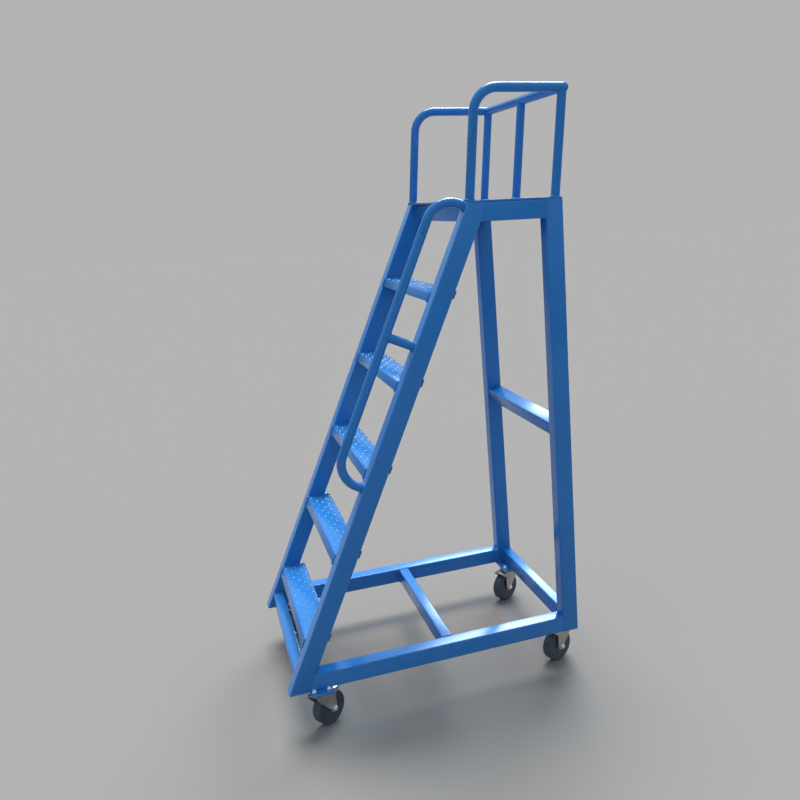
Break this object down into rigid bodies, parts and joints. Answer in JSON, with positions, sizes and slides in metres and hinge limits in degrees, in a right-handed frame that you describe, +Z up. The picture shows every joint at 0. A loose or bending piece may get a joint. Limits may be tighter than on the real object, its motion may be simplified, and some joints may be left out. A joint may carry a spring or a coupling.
{
  "type": "rolling warehouse ladder",
  "caption": "Welded tube stair with flat treads, a railed standing platform and one handrail, rolling on swivel casters.",
  "frame": {"origin": "on the floor, under the middle of the ladder's outline", "axes": "+Z up, +X towards the climber's right hand (the handrail's side), the stair's foot towards -Y and the rear legs towards +Y"},
  "size_m": [0.7094, 0.9134, 1.7175],
  "materials": {
    "blue_paint": "gloss",
    "zinc_steel": "satin",
    "tyre_rubber": "matte",
    "wheel_centre_plastic": "satin"
  },
  "bodies": {
    "ladder_frame": {"base_front_bar": "blue_paint", "base_middle_bar": "blue_paint", "base_rear_bar": "blue_paint", "base_side_rail_left": "blue_paint", "base_side_rail_right": "blue_paint", "caster_ball_rings": "zinc_steel", "caster_kingpins": "zinc_steel", "caster_mounting_pads": "blue_paint", "caster_plate_bolts": "zinc_steel", "caster_plate_nuts": "zinc_steel", "caster_top_plates": "zinc_steel", "guard_bend_left": "blue_paint", "guard_bend_right": "blue_paint", "guard_front_post_left": "blue_paint", "guard_front_post_right": "blue_paint", "guard_rear_post_left": "blue_paint", "guard_rear_post_middle": "blue_paint", "guard_rear_post_right": "blue_paint", "guard_rear_rail": "blue_paint", "guard_side_rail_left": "blue_paint", "guard_side_rail_right": "blue_paint", "handrail_grab_tube": "blue_paint", "handrail_lower_bend": "blue_paint", "handrail_strut": "blue_paint", "handrail_upper_bend": "blue_paint", "platform_front_beam": "blue_paint", "platform_plate": "blue_paint", "platform_rear_beam": "blue_paint", "rear_leg_left": "blue_paint", "rear_leg_right": "blue_paint", "rear_mid_bar": "blue_paint", "stringer_left": "blue_paint", "stringer_right": "blue_paint", "top_side_rail_left": "blue_paint", "top_side_rail_right": "blue_paint", "tread_1": "blue_paint", "tread_2": "blue_paint", "tread_3": "blue_paint", "tread_4": "blue_paint", "tread_5": "blue_paint"},
    "swivel_fork_front_left": {"fork_front_left": "zinc_steel", "axle_bolt_front_left": "zinc_steel"},
    "wheel_front_left": {"wheel_centre_front_left": "wheel_centre_plastic", "tyre_front_left": "tyre_rubber"},
    "swivel_fork_front_right": {"fork_front_right": "zinc_steel", "axle_bolt_front_right": "zinc_steel"},
    "wheel_front_right": {"wheel_centre_front_right": "wheel_centre_plastic", "tyre_front_right": "tyre_rubber"},
    "swivel_fork_rear_left": {"fork_rear_left": "zinc_steel", "axle_bolt_rear_left": "zinc_steel"},
    "wheel_rear_left": {"wheel_centre_rear_left": "wheel_centre_plastic", "tyre_rear_left": "tyre_rubber"},
    "swivel_fork_rear_right": {"fork_rear_right": "zinc_steel", "axle_bolt_rear_right": "zinc_steel"},
    "wheel_rear_right": {"wheel_centre_rear_right": "wheel_centre_plastic", "tyre_rear_right": "tyre_rubber"}
  },
  "joints": [
    {"name": "swivel_front_left", "type": "hinge", "parent": "ladder_frame", "child": "swivel_fork_front_left", "pos_m": [-0.3025, -0.36866, 0.109], "axis": [0, 0, 1], "continuous": true},
    {"name": "roll_front_left", "type": "hinge", "parent": "swivel_fork_front_left", "child": "wheel_front_left", "pos_m": [-0.31512, -0.35064, 0.05], "axis": [-0.8192, -0.5736, 0], "continuous": true},
    {"name": "swivel_front_right", "type": "hinge", "parent": "ladder_frame", "child": "swivel_fork_front_right", "pos_m": [0.3025, -0.36866, 0.109], "axis": [0, 0, 1], "continuous": true},
    {"name": "roll_front_right", "type": "hinge", "parent": "swivel_fork_front_right", "child": "wheel_front_right", "pos_m": [0.28896, -0.35133, 0.05], "axis": [-0.788, -0.6157, 0], "continuous": true},
    {"name": "swivel_rear_left", "type": "hinge", "parent": "ladder_frame", "child": "swivel_fork_rear_left", "pos_m": [-0.245, 0.398, 0.109], "axis": [0, 0, 1], "continuous": true},
    {"name": "roll_rear_left", "type": "hinge", "parent": "swivel_fork_rear_left", "child": "wheel_rear_left", "pos_m": [-0.234, 0.37895, 0.05], "axis": [0.866, 0.5, 0], "continuous": true},
    {"name": "swivel_rear_right", "type": "hinge", "parent": "ladder_frame", "child": "swivel_fork_rear_right", "pos_m": [0.245, 0.398, 0.109], "axis": [0, 0, 1], "continuous": true},
    {"name": "roll_rear_right", "type": "hinge", "parent": "swivel_fork_rear_right", "child": "wheel_rear_right", "pos_m": [0.2543, 0.37806, 0.05], "axis": [0.9063, 0.4226, 0], "continuous": true}
  ]
}
